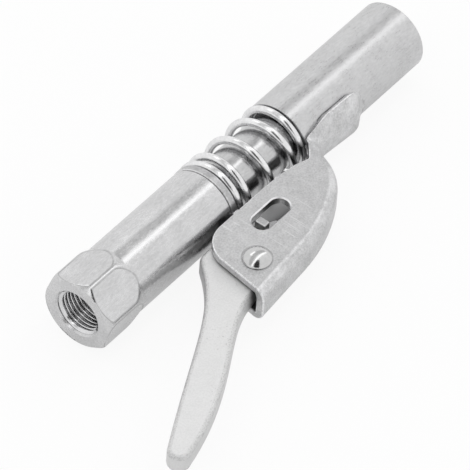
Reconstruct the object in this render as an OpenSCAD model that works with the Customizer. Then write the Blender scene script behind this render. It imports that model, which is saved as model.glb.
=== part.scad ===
// Locking grease coupler with a squeeze lever.
// Origin: centre of the threaded inlet's mouth. +X runs along the body to the jaws,
// -Y points to the lever, +Z is square to the plane that the lever swings in.

/* [Inlet body] */
// Width across the flats of the inlet hexagon
hex_af = 16; // [15:0.5:18]
// Diameter that the hexagon's corners are turned to
hex_corner_d = 18; // [17.6:0.1:19]
// Length of the hexagon along the body
hex_len = 11.4; // [10:0.2:14]
// Turn of the hexagon's first corner from the lever's side towards +Z
hex_turn = 14.5; // [0:0.5:60]
// Diameter of the round barrel
barrel_d = 16; // [15:0.1:16.5]
// Distance from the inlet mouth to the barrel's front shoulder
shoulder_x = 39.8; // [36:0.2:44]
// Core diameter of the 1/8 inch pipe thread
thread_core_d = 8.6; // [8.4:0.1:8.8]
// Depth of the inlet thread
thread_depth = 12; // [9:0.5:14]
// Diameter of the countersink at the inlet mouth
mouth_d = 10.4; // [10:0.1:10.6]
// Depth of the countersunk mouth
mouth_depth = 0.45; // [0.3:0.05:0.5]
// Diameter of the grease passage
passage_d = 3.2; // [2.6:0.1:3.4]

/* [Stem] */
// Diameter of the neck that the sleeve slides on
neck_d = 12; // [11.6:0.1:12.2]
// Diameter of the shank screwed into the barrel
shank_d = 10; // [9.4:0.1:10.2]
// Length of the collar
collar_len = 2.5; // [2:0.1:4]
// Diameter of the flange that the jaws hook over
flange_d = 8.6; // [8.2:0.1:8.8]
// Length of the flange
flange_len = 3; // [2.5:0.1:3.5]
// Diameter at the bottom of the jaw groove
groove_d = 6.8; // [6.4:0.1:7]
// Width of the jaw groove
groove_w = 2.5; // [2.2:0.1:3]

/* [Sleeve and spring] */
// Outer diameter of the sleeve
sleeve_d = 16; // [15.6:0.1:16.4]
// Distance from the inlet mouth to the sleeve's rear end
sleeve_x = 64.3; // [62:0.1:66]
// Length of the sleeve
sleeve_len = 39.4; // [38:0.2:42]
// Rounding of the sleeve's front edge
sleeve_edge = 1; // [0.4:0.1:1.5]
// Diameter of the sleeve's mouth
sleeve_mouth_d = 14.2; // [14:0.1:14.4]
// Backward travel of the sleeve when the lever is squeezed
sleeve_travel = 2.55; // [2:0.05:3]
// Wire diameter of the main spring
wire_d = 1.7; // [1.4:0.1:1.8]
// Outer diameter of the main spring
spring_d = 16.5; // [16.2:0.1:17]
// Open turns of the main spring
open_turns = 2.9; // [2.4:0.1:3.4]

/* [Lever and bracket] */
// Distance of the lever pivot behind the barrel's shoulder
pivot_back = 7.8; // [6.8:0.1:9.8]
// Distance of the lever pivot from the body's axis
pivot_y = 20; // [19:0.1:20.5]
// Diameter of the pivot rivet's shank
rivet_d = 4; // [3.4:0.1:4.4]
// Diameter of the rivet's domed heads
rivet_head_d = 6.4; // [5.6:0.1:7]
// Height of the rivet's domed heads
rivet_head_h = 1.9; // [1.2:0.1:2.2]
// Sheet thickness of the bracket
sheet_t = 1.8; // [1.6:0.1:2]
// Outer width of the bracket's channel
bracket_w = 8.6; // [8.4:0.1:9]
// Outer radius of the bracket's bends
bend_r = 2.6; // [2.2:0.1:2.8]
// Length of the slot in each bracket wall
slot_len = 10; // [9:0.2:11]
// Width of the slot in each bracket wall
slot_w = 4.4; // [3.8:0.1:4.6]
// Thickness of the lever
lever_t = 4.6; // [4.2:0.1:4.8]
// Radius of the lever's nose
nose_r = 2.3; // [1.8:0.1:2.6]
// Radius of the lever's round tip
tip_r = 2.45; // [2:0.05:2.8]
// Thickness of the anchor plate
plate_t = 1.7; // [1.4:0.1:1.9]
// Height of the anchor plate's ear above the axis
ear_top = 17.5; // [17:0.1:18.5]
// Height of the ear's side lugs
lug_h = 2.6; // [2:0.1:3]

/* [Jaws and seals] */
// Inner diameter of the closed jaw lips
lip_d = 5.5; // [5.2:0.1:5.8]
// Length of the jaw lips along the axis
lip_len = 1.6; // [1.2:0.1:2]
// Diameter of the space for the grease nipple's head
nipple_space_d = 6.9; // [6.7:0.1:7.2]
// Outer diameter of the jaws behind their cone
jaw_d = 11.1; // [10.9:0.1:11.2]
// Outer diameter of the jaws in front of their cone
jaw_front_d = 12.6; // [12.2:0.1:12.7]
// Angle left open between two jaws
jaw_gap = 6; // [4:1:10]
// Depth of the jaws behind the sleeve's front edge
jaw_recess = 1; // [0.8:0.1:1.6]
// Diameter of the check ball
ball_d = 5; // [4.6:0.1:5.2]
// Diameter of the nipple seal
seal_d = 8.2; // [7.6:0.1:8.4]

/* [Hidden] */
$fn = 64;
// Clearance between pieces that stay still on each other
still = 0.05;
// Radial clearance of a running or turning fit
run_fit = 0.08;
// Clearance between pieces that pass each other
pass = 0.35;

barrel_r = barrel_d / 2;
neck_r = neck_d / 2;
shank_r = shank_d / 2;
plate_front = shoulder_x + plate_t;
plate_d = spring_d - 0.3;
collar_d = spring_d - 2 * wire_d - 0.4;
shank_x = shoulder_x - 12.7;
seat_x = shank_x - 1.9;
chamber_r = 3;
chamber_end = shank_x + 11;
ball_x = seat_x - passage_d / 2 + (ball_d / 2 + 0.05) * sqrt(2);
sleeve_r = sleeve_d / 2;
sleeve_front = sleeve_x + sleeve_len;
sleeve_bore_r = neck_r + run_fit;
jaw_front = sleeve_front - jaw_recess;
jaw_back = jaw_front - 18;
groove_x = jaw_back - 0.2;
flange_x = groove_x + groove_w;
stem_front = flange_x + flange_len;
jaw_cone = (jaw_front_d - jaw_d) / 2 / 0.234;
jaw_cone_x = jaw_front - 8.1;
washer_t = 1.2;
spreader_wire = 0.6;
spreader_r = flange_d / 2 - 0.45;
seal_x = stem_front + washer_t + 2 * still;
seal_front = jaw_front - 7.4;
oring_x = shank_x + 2.6;
oring_r = 0.55;
slot_x = shoulder_x + 3.6;
slot_y = 14.55;
pivot_x = shoulder_x - pivot_back;
nose_x = shoulder_x - pass - nose_r;
nose_y = pivot_y - 7;
// The bracket's back: a straight run, two arcs and the ear on the sleeve
back_slope = 4.9;
back_x = pivot_x - 6.8;
arc_start = [sleeve_x - 23.3, pivot_y + 5.8];
arc1_r = 40;
arc2_r = 14;
arc1_end = 30.2;
arc2_end = 70;
arc1_c = arc_start - arc1_r * [sin(back_slope), cos(back_slope)];
arc2_c = arc1_c + (arc1_r - arc2_r) * [sin(arc1_end), cos(arc1_end)];
arc2_tip = arc2_c + arc2_r * [sin(arc2_end), cos(arc2_end)];
strap_r = sleeve_r + 1.5;
waist_r = (arc2_tip[1] - strap_r) / (1 - cos(arc2_end));
waist_x = arc2_tip[0] + waist_r * sin(arc2_end);
strap_front = sleeve_x + 15.6;
toe_x = sleeve_x + 18.9;
toe_r = (pow(toe_x - strap_front, 2) + pow(strap_r - sleeve_r, 2)) / 2 / (strap_r - sleeve_r);

// A point on the cubic curve through four control points
function curve(p, t) = pow(1 - t, 3) * p[0] + 3 * t * pow(1 - t, 2) * p[1]
    + 3 * t * t * (1 - t) * p[2] + pow(t, 3) * p[3];
function curve_points(p, n) = [for (i = [0:n]) curve(p, i / n)];
// Points on an arc, with angles in degrees from +X
function arc(c, r, a, b, n = 12) =
    [for (i = [0:n]) let (t = a + (b - a) * i / n) c + r * [cos(t), sin(t)]];

// Turns a shape that is modelled along +Z to lie along +X
module along_x() {
    rotate([0, 90, 0])
        children();
}

// Puts pieces that are drawn with the lever at +Y on the lever's own side
module lever_side() {
    mirror([0, 1, 0])
        children();
}

// Revolves an outline of [x, radius] points about the body's axis
module turned(points) {
    along_x()
        rotate_extrude()
            polygon([for (p = points) [p[1], p[0]]]);
}

// A cylinder along the body from x0 to x1
module rod(x0, x1, r) {
    translate([x0, 0, 0])
        along_x()
            cylinder(h = x1 - x0, r = r);
}

// A wire wound on a helix about the body's axis, through the axial places in xs
module coil(wire_r, mean_r, turns, xs, start, hand, sides = 8) {
    steps = len(xs) - 1;
    rings = [for (i = [0:steps])
        let (a = start + hand * 360 * turns * i / steps)
        [for (k = [0:sides - 1])
            let (b = 360 * k / sides, r = mean_r + wire_r * cos(b))
            [xs[i] + wire_r * sin(b), r * cos(a), r * sin(a)]]];
    points = [for (ring = rings) each ring];
    last = steps * sides;
    side_faces = [for (i = [0:steps - 1], k = [0:sides - 1])
        let (m = (k + 1) % sides, p = i * sides)
        hand > 0 ? [p + k, p + m, p + sides + m, p + sides + k]
                 : [p + k, p + sides + k, p + sides + m, p + m]];
    first_cap = [for (k = [0:sides - 1]) hand > 0 ? sides - 1 - k : k];
    last_cap = [for (k = [0:sides - 1]) last + (hand > 0 ? k : sides - 1 - k)];
    polyhedron(points, concat([first_cap], side_faces, [last_cap]), convexity = 10);
}

// Axial place of a spring's wire at turn n, with closed ends
function spring_x(n, x0, x1, closed0, open, closed1, close_pitch) =
    let (pitch = (x1 - x0 - close_pitch * (closed0 + closed1)) / open)
    n < closed0 ? x0 + close_pitch * n
    : n < closed0 + open ? x0 + close_pitch * closed0 + pitch * (n - closed0)
    : x1 - close_pitch * (closed0 + open + closed1 - n);

module inlet_body() {
    flat = hex_af / 2;
    corner = hex_corner_d / 2;
    blank = [[0, 0], [0, flat - 0.05], [1.05, corner], [hex_len - 2.7, corner], [hex_len, barrel_r],
             [hex_len, 0]];
    color("silver")
        difference() {
            union() {
                intersection() {
                    turned(blank);
                    along_x()
                        rotate([0, 0, -hex_turn])
                            rotate([0, 0, 90])
                                cylinder(h = hex_len, d = hex_af / cos(30), $fn = 6);
                }
                turned([[hex_len - 1.2, 0], [hex_len - 1.2, barrel_r], [shoulder_x - 0.3, barrel_r],
                        [shoulder_x, barrel_r - 0.3], [shoulder_x, 0]]);
            }
            turned([[-1, 0], [-1, mouth_d / 2 + 1], [0, mouth_d / 2],
                    [mouth_depth, thread_core_d / 2],
                    [thread_depth, thread_core_d / 2], [thread_depth + 1.7, passage_d / 2],
                    [seat_x, passage_d / 2], [shank_x - 0.4, passage_d / 2 + 1.5],
                    [shank_x - 0.4, shank_r + still], [shoulder_x + 1, shank_r + still],
                    [shoulder_x + 1, 0]]);
        }
}

module stem() {
    bore = passage_d / 2;
    color("gainsboro")
        difference() {
            turned([[shank_x, 0], [shank_x, shank_r], [oring_x - oring_r, shank_r],
                    [oring_x - oring_r, shank_r - 2 * oring_r],
                    [oring_x + oring_r, shank_r - 2 * oring_r], [oring_x + oring_r, shank_r],
                    [plate_front + still, shank_r], [plate_front + still, collar_d / 2],
                    [plate_front + collar_len, collar_d / 2],
                    [plate_front + collar_len + 0.5, neck_r], [groove_x, neck_r],
                    [groove_x, groove_d / 2], [flange_x, groove_d / 2], [flange_x, flange_d / 2],
                    [stem_front - 0.3, flange_d / 2], [stem_front, flange_d / 2 - 0.3],
                    [stem_front, 0]]);
            turned([[shank_x - 1, 0], [shank_x - 1, chamber_r], [chamber_end, chamber_r],
                    [chamber_end, bore], [stem_front - 4, bore], [stem_front - 4, 2.3],
                    [stem_front + 1, 2.3], [stem_front + 1, 0]]);
        }
}

module stem_oring() {
    color("dimgray")
        along_x()
            rotate_extrude()
                translate([shank_r - oring_r, oring_x])
                    circle(r = oring_r - 0.02);
}

module anchor_plate() {
    half = lever_t / 2;
    lug = bracket_w / 2 - 0.1;
    color("darkgray")
        lever_side()
            translate([shoulder_x + 0.02, 0, 0])
                rotate([90, 0, 90])
                    linear_extrude(plate_t - 0.02)
                        difference() {
                            union() {
                                circle(d = plate_d);
                                translate([0, -half])
                                    square([ear_top, lever_t]);
                                translate([slot_y - lug_h / 2, -lug])
                                    square([lug_h, 2 * lug]);
                            }
                            circle(r = shank_r + still);
                        }
}

module check_ball() {
    color("lightgray")
        translate([ball_x, 0, 0])
            sphere(d = ball_d);
}

module check_spring() {
    wire_r = 0.25;
    x0 = ball_x + ball_d / 2 - 0.5 + wire_r;
    x1 = chamber_end - wire_r - 0.02;
    turns = 5;
    steps = 60;
    color("lightgray")
        coil(wire_r, 2.2, turns,
             [for (i = [0:steps]) spring_x(turns * i / steps, x0, x1, 0.8, 3.4, 0.8, 0.55)],
             0, 1, 6);
}

module main_spring() {
    wire_r = wire_d / 2;
    closed0 = 1;
    closed1 = 0.9;
    turns = closed0 + open_turns + closed1;
    steps = 90;
    color("whitesmoke")
        coil(wire_r, spring_d / 2 - wire_r, turns,
             [for (i = [0:steps])
                 spring_x(turns * i / steps, plate_front + wire_r + 0.02, sleeve_x - wire_r - 0.02,
                          closed0, open_turns, closed1, wire_d + 0.02)],
             -7, 1, 8);
}

module seal_washer() {
    x0 = stem_front + still;
    color("lightgray")
        turned([[x0, 2.4], [x0, spreader_r - spreader_wire], [x0 + washer_t, spreader_r - spreader_wire],
                [x0 + washer_t, 2.4]]);
}

module nipple_seal() {
    color("black")
        turned([[stem_front - 3.8, 0.9], [stem_front - 3.8, 2.25], [seal_x, 2.25], [seal_x, seal_d / 2],
                [seal_front - 0.6, seal_d / 2], [seal_front, seal_d / 2 - 0.6], [seal_front, 2.6],
                [seal_front - 1.4, 0.9]]);
}

module jaw_spreader() {
    color("dimgray")
        along_x()
            rotate_extrude()
                translate([spreader_r, stem_front + still + washer_t / 2])
                    circle(r = spreader_wire - 0.02);
}

// One of the four jaws: a quarter collet that hooks behind the stem's flange
module jaw(angle) {
    back = jaw_back;
    hook = back + groove_w - 0.4;
    outer = jaw_d / 2;
    front_r = jaw_front_d / 2;
    inner = flange_d / 2 + 0.25;
    head = nipple_space_d / 2;
    lip = lip_d / 2;
    lip_x = jaw_front - lip_len - 0.8;
    outline = [[back, groove_d / 2 + 0.25], [back, outer], [jaw_cone_x, outer],
               [jaw_cone_x + jaw_cone, front_r], [jaw_front - 0.5, front_r],
               [jaw_front, front_r - 0.5], [jaw_front, lip + 1.2], [jaw_front - 0.8, lip],
               [lip_x, lip], [lip_x - 0.7, head], [seal_front + 0.3, head],
               [seal_front + 0.3, inner], [hook, inner], [hook, groove_d / 2 + 0.25]];
    color("silver")
        rotate([angle, 0, 0])
            along_x()
                rotate([0, 0, jaw_gap / 2])
                    rotate_extrude(angle = 90 - jaw_gap)
                        polygon([for (p = outline) [p[1], p[0]]]);
}

module jaw_1() {
    jaw(90);
}

module jaw_2() {
    jaw(180);
}

module jaw_3() {
    jaw(270);
}

module jaw_4() {
    jaw(0);
}

module sleeve() {
    mouth_r = sleeve_mouth_d / 2;
    cone_x = jaw_cone_x + 0.6;
    cone_len = (mouth_r - sleeve_bore_r) / 0.234;
    edge_c = [sleeve_front - sleeve_edge, sleeve_r - sleeve_edge];
    color("silver")
        along_x()
            rotate_extrude()
                difference() {
                    union() {
                        translate([0, sleeve_x])
                            square([sleeve_r, sleeve_len - sleeve_edge]);
                        translate([0, sleeve_x])
                            square([sleeve_r - sleeve_edge, sleeve_len]);
                        translate([edge_c[1], edge_c[0]])
                            circle(r = sleeve_edge);
                    }
                    polygon([[0, sleeve_x - 1], [sleeve_bore_r, sleeve_x - 1], [sleeve_bore_r, cone_x],
                             [mouth_r, cone_x + cone_len], [mouth_r, sleeve_front + 1],
                             [0, sleeve_front + 1]]);
                }
}

// Points along the bracket's back, from its rear end to the waist, d below the surface
function back_point(angle, d) =
    angle < arc1_end ? arc1_c + (arc1_r - d) * [sin(angle), cos(angle)]
                     : arc2_c + (arc2_r - d) * [sin(angle), cos(angle)];
function back_angles() = [for (i = [0:4]) back_slope + (arc1_end - back_slope) * i / 5,
                          for (i = [0:9]) arc1_end + (arc2_end - arc1_end) * i / 9];
function back_line(x, d) =
    [x, arc_start[1] + (arc_start[0] - x) * tan(back_slope)] - d * [sin(back_slope), cos(back_slope)];
function back_run(d, x) = concat([back_line(x, d)], [for (a = back_angles()) back_point(a, d)]);

// What the bend takes off the channel's upper outer edge, along the whole back
module bend_cut() {
    half = bracket_w / 2;
    run = bend_r * (1 + 1.8 * sin(15));
    rise = 1.8 * bend_r * (1 - cos(15));
    section = concat([[-0.6, half + 0.6], [-0.6, half - run], [-rise, half - run]],
                     [for (a = [15:15:75]) [bend_r - bend_r * cos(a), half - bend_r + bend_r * sin(a)]],
                     [[run, half + rise], [run, half + 0.6]]);
    m = len(section);
    rings = [for (x = [back_x - 1])
                 [for (q = section) let (b = back_line(x, q[0])) [b[0], b[1], q[1]]],
             for (a = concat(back_angles(), [arc2_end + 3]))
                 [for (q = section) let (b = back_point(a, q[0])) [b[0], b[1], q[1]]]];
    last = (len(rings) - 1) * m;
    polyhedron([for (ring = rings) each ring],
               concat([[for (k = [0:m - 1]) m - 1 - k]],
                      [for (i = [0:len(rings) - 2], k = [0:m - 1])
                          let (n = (k + 1) % m, p = i * m) [p + k, p + n, p + m + n, p + m + k]],
                      [[for (k = [0:m - 1]) last + k]]),
               convexity = 6);
}

// The bracket's side view, with the open lower edge over the body
module bracket_outline() {
    corner = 7;
    edge_y = spring_d / 2 + pass + 0.35;
    corner_c = [pivot_x + 1.9, edge_y + corner];
    polygon(concat(
        back_run(0, back_x),
        [[sleeve_x + 2.1, sleeve_r + 2], [sleeve_x + 2.1, sleeve_r - 1.3], [sleeve_x, sleeve_r - 1.3],
         [sleeve_x - 3.8, edge_y + 1.95], [sleeve_x - 6.9, edge_y + 0.9], [sleeve_x - 10.6, edge_y + 0.35],
         [sleeve_x - 16, edge_y]],
        arc(corner_c, corner, 270, 195),
        [[back_x + 0.2, pivot_y + 2.2], [back_x - 0.2, pivot_y + 5]]));
}

// The space inside the channel, open below and behind
module channel_space() {
    polygon(concat(back_run(sheet_t, back_x - 3), [[sleeve_x - 1.7, 9], [sleeve_x - 1.7, 0], [pivot_x - 12, 0],
                    [pivot_x - 12, pivot_y + 4]]));
}

// The ear that lies on the sleeve, drawn as a saddle with a filleted toe
module sleeve_ear() {
    half = bracket_w / 2;
    flare = 6.4;
    lap = 41;
    toe_angle = asin((toe_x - strap_front) / toe_r);
    intersection() {
        turned(concat([[sleeve_x - 1.3, 6.2], [sleeve_x - 1.3, arc2_tip[1]]],
                      arc([waist_x, strap_r + waist_r], waist_r, 270 - arc2_end, 270),
                      arc([toe_x, sleeve_r + toe_r], toe_r, 270 - toe_angle, 269),
                      [[toe_x - 0.2, 6.2]]));
        rotate([-90, 0, 0])
            linear_extrude(20)
                for (side = [0, 1])
                    mirror([0, side])
                        polygon([[sleeve_x - 2.3, -0.5], [sleeve_x - 2.3, half - 0.02],
                                 [sleeve_x + 0.1, half - 0.02], [sleeve_x + 3.7, half + 1.1],
                                 [sleeve_x + 7.3, flare], [strap_front - 2.3, flare],
                                 [strap_front + 0.3, flare - 0.6], [strap_front + 2.1, flare - 1.9],
                                 [toe_x - 0.2, flare - 3.7], [toe_x, flare - 5], [toe_x, -0.5]]);
        translate([sleeve_x - 3, 0, 0])
            rotate([90, 0, 90])
                linear_extrude(toe_x - sleeve_x + 4)
                    polygon([[0, 0], [20, 20 * tan(lap)], [20, -20 * tan(lap)]]);
    }
}

module lever_bracket() {
    half = bracket_w / 2;
    color("darkgray")
        lever_side()
            difference() {
                union() {
                    translate([0, 0, -half])
                        linear_extrude(bracket_w)
                            bracket_outline();
                    sleeve_ear();
                }
                translate([0, 0, sheet_t - half])
                    linear_extrude(bracket_w - 2 * sheet_t)
                        channel_space();
                for (side = [0, 1])
                    mirror([0, 0, side])
                        bend_cut();
                rod(sleeve_x - 1, toe_x + 1, sleeve_r + 0.02);
                rod(sleeve_x - 8, sleeve_x - 0.02, spring_d / 2 + pass);
                for (end = [-1, 1])
                    translate([slot_x + end * (slot_len - slot_w) / 2, slot_y, -half - 1])
                        cylinder(h = bracket_w + 2, d = slot_w);
                translate([slot_x - (slot_len - slot_w) / 2, slot_y - slot_w / 2, -half - 1])
                    cube([slot_len - slot_w, slot_w, bracket_w + 2]);
                translate([pivot_x, pivot_y, -half - 1])
                    cylinder(h = bracket_w + 2, d = rivet_d + 2 * still);
            }
}

module pivot_rivet() {
    half = bracket_w / 2 + 0.02;
    dome_r = (pow(rivet_head_d / 2, 2) + pow(rivet_head_h, 2)) / 2 / rivet_head_h;
    color("white")
        lever_side()
            translate([pivot_x, pivot_y, 0])
                union() {
                    translate([0, 0, -half - 0.2])
                        cylinder(h = 2 * half + 0.4, d = rivet_d);
                    for (side = [0, 1])
                        mirror([0, 0, side])
                            intersection() {
                                translate([0, 0, half + rivet_head_h - dome_r])
                                    sphere(r = dome_r);
                                translate([0, 0, half])
                                    cylinder(h = rivet_head_h + 1, d = rivet_head_d + 2);
                            }
                }
}

module lever() {
    pivot = [pivot_x, pivot_y];
    tip = pivot + [-47.65, 18.55];
    slope = 29;
    grip = [pivot + [-6.4, -9.6], pivot + [-15.1, -1.1], pivot + [-24.4, 4],
            tip - tip_r * [sin(slope), cos(slope)]];
    back = [tip + tip_r * [sin(slope - 8), cos(slope - 8)], pivot + [-25.8, 16.4], pivot + [-16.8, 5.4],
            pivot + [-6.6, 4.2]];
    color("lightgray")
        lever_side()
            translate([0, 0, -lever_t / 2])
                difference() {
                    union() {
                        linear_extrude(lever_t)
                            polygon(concat(
                                curve_points(grip, 16),
                                arc(tip, tip_r, 270 - slope, 90 - slope + 8, 8),
                                curve_points(back, 16),
                                [[pivot_x, pivot_y + 2.9], [pivot_x + 2.6, pivot_y + 1.4],
                                 [nose_x + 1.7, nose_y + 1.2], [nose_x, nose_y - nose_r + 0.3],
                                 [pivot_x - 2, nose_y - 3.1]]));
                        translate([nose_x, nose_y, 0])
                            cylinder(h = lever_t, r = nose_r);
                        translate([pivot_x, pivot_y, 0])
                            cylinder(h = lever_t, r = 3.3);
                    }
                    translate([pivot_x, pivot_y, -1])
                        cylinder(h = lever_t + 2, d = rivet_d + 2 * run_fit);
                }
}

inlet_body();
stem();
stem_oring();
anchor_plate();
check_ball();
check_spring();
main_spring();
seal_washer();
nipple_seal();
jaw_spreader();
jaw_1();
jaw_2();
jaw_3();
jaw_4();
sleeve();
lever_bracket();
pivot_rivet();
lever();
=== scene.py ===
"""Visible pieces of a locking grease coupler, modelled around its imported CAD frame."""

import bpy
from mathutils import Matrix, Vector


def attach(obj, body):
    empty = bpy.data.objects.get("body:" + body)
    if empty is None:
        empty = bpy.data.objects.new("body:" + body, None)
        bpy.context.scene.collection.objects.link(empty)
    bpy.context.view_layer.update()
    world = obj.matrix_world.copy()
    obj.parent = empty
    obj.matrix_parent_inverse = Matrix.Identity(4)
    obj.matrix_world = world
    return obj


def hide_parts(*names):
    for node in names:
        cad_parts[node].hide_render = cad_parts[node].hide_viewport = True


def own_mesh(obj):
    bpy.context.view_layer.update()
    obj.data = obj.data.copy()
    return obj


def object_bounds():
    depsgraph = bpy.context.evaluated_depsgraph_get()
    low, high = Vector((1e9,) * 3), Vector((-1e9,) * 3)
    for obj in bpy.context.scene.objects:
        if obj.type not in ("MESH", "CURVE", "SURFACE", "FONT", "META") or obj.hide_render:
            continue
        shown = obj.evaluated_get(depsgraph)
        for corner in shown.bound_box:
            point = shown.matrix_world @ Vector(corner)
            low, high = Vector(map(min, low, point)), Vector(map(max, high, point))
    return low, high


bl_info = {
    "name": "Grease Coupler Pieces",
    "version": (1, 0, 0),
    "blender": (4, 5, 0),
    "location": "3D View > Sidebar > Coupler",
    "description": "Models and finishes the pieces of a locking grease coupler in its CAD frame",
    "category": "Add Mesh",
}

from math import asin, atan2, cos, degrees, hypot, pi, radians, sin, sqrt, tan, tau

import bpy
from mathutils import Matrix, Vector

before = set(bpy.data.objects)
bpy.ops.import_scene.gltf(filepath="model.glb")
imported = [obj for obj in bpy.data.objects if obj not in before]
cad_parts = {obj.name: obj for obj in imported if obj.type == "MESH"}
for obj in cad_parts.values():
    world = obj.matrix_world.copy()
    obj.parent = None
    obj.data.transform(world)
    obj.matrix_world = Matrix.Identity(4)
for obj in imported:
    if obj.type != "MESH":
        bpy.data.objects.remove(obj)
CAD_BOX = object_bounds()
MM = 0.001

# Places and sizes in mm that several pieces share
PIVOT, PIN_HALF = Vector((32.0, -20.0, 0.0)), Vector((0.0, 0.0, 6.0))
SLOT_ENDS, SLOT_Y, SLOT_R = (40.6, 46.2), -14.55, 2.2
PLATE_FRONT, SLEEVE_REAR, SHANK_R = 41.5, 64.3, 5.05
# Direction from the object to the camera
VIEW_FROM = Vector((-0.530, -0.411, 0.742)).normalized()


# ---------------------------------------------------------------- settings

def length(name, description, default):
    """A size in metres that a user may change"""
    return bpy.props.FloatProperty(name=name, description=description, default=default, min=0.0,
                                   precision=5, subtype="DISTANCE", unit="LENGTH")


def shade(name, description, default):
    """A finish's base colour"""
    return bpy.props.FloatVectorProperty(name=name, description=description, default=default,
                                         size=3, min=0.0, max=1.0, subtype="COLOR")


def group(name, description, kind):
    """A group of settings"""
    return bpy.props.PointerProperty(name=name, description=description, type=kind)


class CouplerBodySizes(bpy.types.PropertyGroup):
    """Sizes of the inlet body, its thread and the parts turned on its axis"""
    hex_across: length("Hexagon across flats", "Spanner size of the inlet", 0.016)
    hex_turned: length("Hexagon corner diameter", "Diameter that the corners are turned to", 0.018)
    hex_soft: length("Hexagon edge softness", "Width over which the hexagon's edges are rounded", 0.0004)
    barrel_radius: length("Barrel radius", "Outer radius behind the hexagon", 0.008)
    thread_pitch: length("Thread pitch", "Pitch of the inlet thread", 0.000941)
    thread_root: length("Thread root radius", "Radius at the bottom of the thread", 0.00515)
    thread_crest: length("Thread crest radius", "Radius at the tops of the thread", 0.0045)


class CouplerSpringSizes(bpy.types.PropertyGroup):
    """Sizes of the main spring"""
    wire_radius: length("Wire radius", "Half the wire's thickness", 0.00085)
    mean_radius: length("Mean radius", "Radius of the wire's centre line", 0.0074)
    rear_rise: length("Rear rise", "Rise over the close turns at the barrel", 0.00295)
    front_rise: length("Front rise", "Rise over the turn that lies against the sleeve", 0.00026)


class CouplerBracketSizes(bpy.types.PropertyGroup):
    """Sizes of the stamped bracket"""
    sheet: length("Sheet thickness", "Thickness of the stamped sheet", 0.0018)
    half_width: length("Half width", "Half of the channel's outer width", 0.0043)
    bend: length("Bend radius", "Outer radius of the channel's bends", 0.0026)
    edge: length("Edge rounding", "Rounding that tumbling leaves on the cut edges", 0.0003)


class CouplerLeverSizes(bpy.types.PropertyGroup):
    """Sizes of the squeeze lever"""
    thickness: length("Thickness", "Thickness of the cast lever", 0.0046)
    edge: length("Edge rounding", "Rounding of the lever's long edges", 0.0009)


class CouplerFinishes(bpy.types.PropertyGroup):
    """Base colours of the finishes"""
    body: shade("Plated body", "Satin plate on the turned parts", (0.63, 0.63, 0.635))
    sheet: shade("Plated sheet", "Plate on the stamped parts", (0.575, 0.575, 0.58))
    lever: shade("Cast lever", "Plate over cast grain", (0.745, 0.745, 0.745))
    wire: shade("Spring wire", "Bright drawn wire", (0.8, 0.8, 0.805))
    rivet: shade("Rivet", "Polished rivet heads", (0.6, 0.6, 0.6))
    jaw: shade("Jaws", "Hardened jaw steel", (0.42, 0.42, 0.43))
    rubber: shade("Rubber", "Moulded black rubber", (0.03, 0.03, 0.03))


class CouplerStageSettings(bpy.types.PropertyGroup):
    """Camera and floor"""
    lens: bpy.props.FloatProperty(name="Lens", description="Focal length on a 36 mm sensor in mm",
                                  default=426.3, min=50.0, max=1000.0)
    floor: shade("Floor", "Colour of the pale floor", (0.90, 0.90, 0.90))


class CouplerSettings(bpy.types.PropertyGroup):
    """All settings of the coupler"""
    body: group("Body", "Turned parts", CouplerBodySizes)
    spring: group("Spring", "Main spring", CouplerSpringSizes)
    bracket: group("Bracket", "Stamped bracket", CouplerBracketSizes)
    lever: group("Lever", "Squeeze lever", CouplerLeverSizes)
    finishes: group("Finishes", "Base colours", CouplerFinishes)
    stage: group("Stage", "Camera and floor", CouplerStageSettings)


# ---------------------------------------------------------------- modelling helpers

def clear_selection():
    """Leaves edit mode and deselects everything"""
    if bpy.context.object is not None and bpy.context.object.mode != "OBJECT":
        bpy.ops.object.mode_set(mode="OBJECT")
    bpy.ops.object.select_all(action="DESELECT")


def pick(piece):
    """Makes one piece the only selected and active one"""
    clear_selection()
    piece.select_set(True)
    bpy.context.view_layer.objects.active = piece


def edit_all(piece):
    """Opens a piece in edit mode with everything selected"""
    pick(piece)
    bpy.ops.object.mode_set(mode="EDIT")
    bpy.ops.mesh.select_all(action="SELECT")


def named(name):
    """Names the new primitive and its mesh"""
    piece = bpy.context.object
    piece.name = name
    piece.data.name = name
    return piece


def outline_ring(name, points, filled=False):
    """A primitive circle whose points are moved to an outline, given in mm"""
    clear_selection()
    bpy.ops.mesh.primitive_circle_add(vertices=len(points), radius=0.01,
                                      fill_type="NGON" if filled else "NOTHING")
    piece = named(name)
    for vertex, point in zip(piece.data.vertices, points):
        vertex.co = Vector(point) * MM
    return piece


def tidy_mesh(piece, merge=2e-6):
    """Merges doubled points, drops loose ones and turns all faces outwards"""
    edit_all(piece)
    bpy.ops.mesh.remove_doubles(threshold=merge)
    bpy.ops.mesh.delete_loose()
    bpy.ops.mesh.select_all(action="SELECT")
    bpy.ops.mesh.normals_make_consistent(inside=False)
    bpy.ops.object.mode_set(mode="OBJECT")
    return piece


def shares(count, first=0):
    """Even steps up to 1, from 0 or from a later one"""
    return [k / count for k in range(first, count + 1)]


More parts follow.
